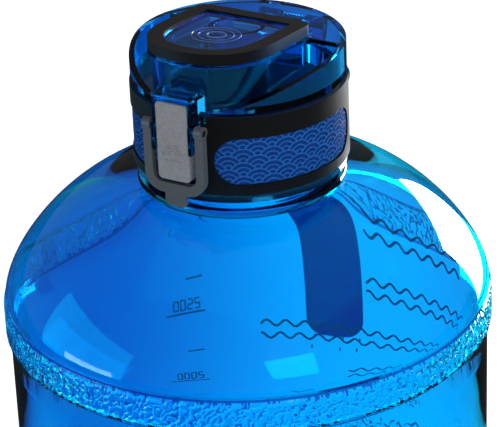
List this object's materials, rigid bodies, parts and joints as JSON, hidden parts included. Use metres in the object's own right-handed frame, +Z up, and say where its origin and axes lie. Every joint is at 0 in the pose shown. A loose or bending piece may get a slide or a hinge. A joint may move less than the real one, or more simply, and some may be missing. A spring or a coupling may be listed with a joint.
{
  "type": "large water jug",
  "caption": "Large translucent water jug with a domed shoulder, screw cap, flip cover over a spout, rocker latch, swinging lock bail and hanging strap.",
  "frame": {"origin": "on the jug's axis, at the plane it stands on", "axes": "+Z up along the jug's axis; -Y is the latch side, +Y the hinge and strap side"},
  "size_m": [0.16, 0.1673, 0.275],
  "materials": {
    "jug_plastic": "clear blown copolyester, polished",
    "cap_plastic": "clear moulded polycarbonate, polished",
    "inner_plastic": "fine matt",
    "panel_plastic": "satin with a moulded arc pattern",
    "grip_rubber": "matt soft-touch",
    "trim_rubber": "matt soft-touch",
    "seal_silicone": "satin silicone",
    "button_plastic": "fine spark-eroded texture",
    "bail_plastic": "fine spark-eroded texture",
    "pin_black": "blackened",
    "steel": "satin",
    "webbing": "plain woven",
    "sleeve_fabric": "padded, stitched along its middle"
  },
  "bodies": {
    "jug": {"bottle": "jug_plastic", "bottle_neck": "jug_plastic"},
    "seal_carrier": {"neck_gasket": "seal_silicone"},
    "cap": {"inner_cap": "inner_plastic", "cap_shell": "cap_plastic", "grip_band": "grip_rubber", "window_panel_right": "panel_plastic", "window_panel_left": "panel_plastic", "hinge_pin": "steel", "hinge_spring": "steel", "latch_pin": "steel", "bail_pins": "pin_black", "strap_bar": "steel"},
    "cover": {"flip_cover": "cap_plastic", "cover_trim": "trim_rubber", "mouth_seal": "seal_silicone"},
    "latch": {"latch_button": "button_plastic", "latch_spring": "steel"},
    "bail": {"lock_bail": "bail_plastic"},
    "strap": {"strap_webbing": "webbing", "strap_sleeve": "sleeve_fabric"}
  },
  "joints": [
    {"name": "cap_lift", "type": "slide", "parent": "jug", "child": "seal_carrier", "axis": [0, 0, 1], "range_m": [0, 0.00751]},
    {"name": "cap_turn", "type": "hinge", "parent": "seal_carrier", "child": "cap", "pos_m": [0, 0, 0.244], "axis": [0, 0, 1], "range_deg": [0, 450]},
    {"name": "cover_hinge", "type": "hinge", "parent": "cap", "child": "cover", "pos_m": [0, 0.03725, 0.2576], "axis": [-1, 0, 0], "range_deg": [0, 115]},
    {"name": "latch_press", "type": "hinge", "parent": "cap", "child": "latch", "pos_m": [0, -0.03885, 0.2471], "axis": [1, 0, 0], "range_deg": [0, 6], "stiffness_Nm_per_rad": 0.02, "springref_deg": -5.73},
    {"name": "bail_swing", "type": "hinge", "parent": "cap", "child": "bail", "pos_m": [0, -0.03945, 0.2516], "axis": [-1, 0, 0], "range_deg": [0, 175]},
    {"name": "strap_swing", "type": "hinge", "parent": "cap", "child": "strap", "pos_m": [0, 0.04025, 0.2401], "axis": [1, 0, 0], "range_deg": [0, 60]}
  ],
  "couplings": [
    {"joint": "cap_lift", "follows": "cap_turn", "m_per_rad": 0.00095493}
  ]
}
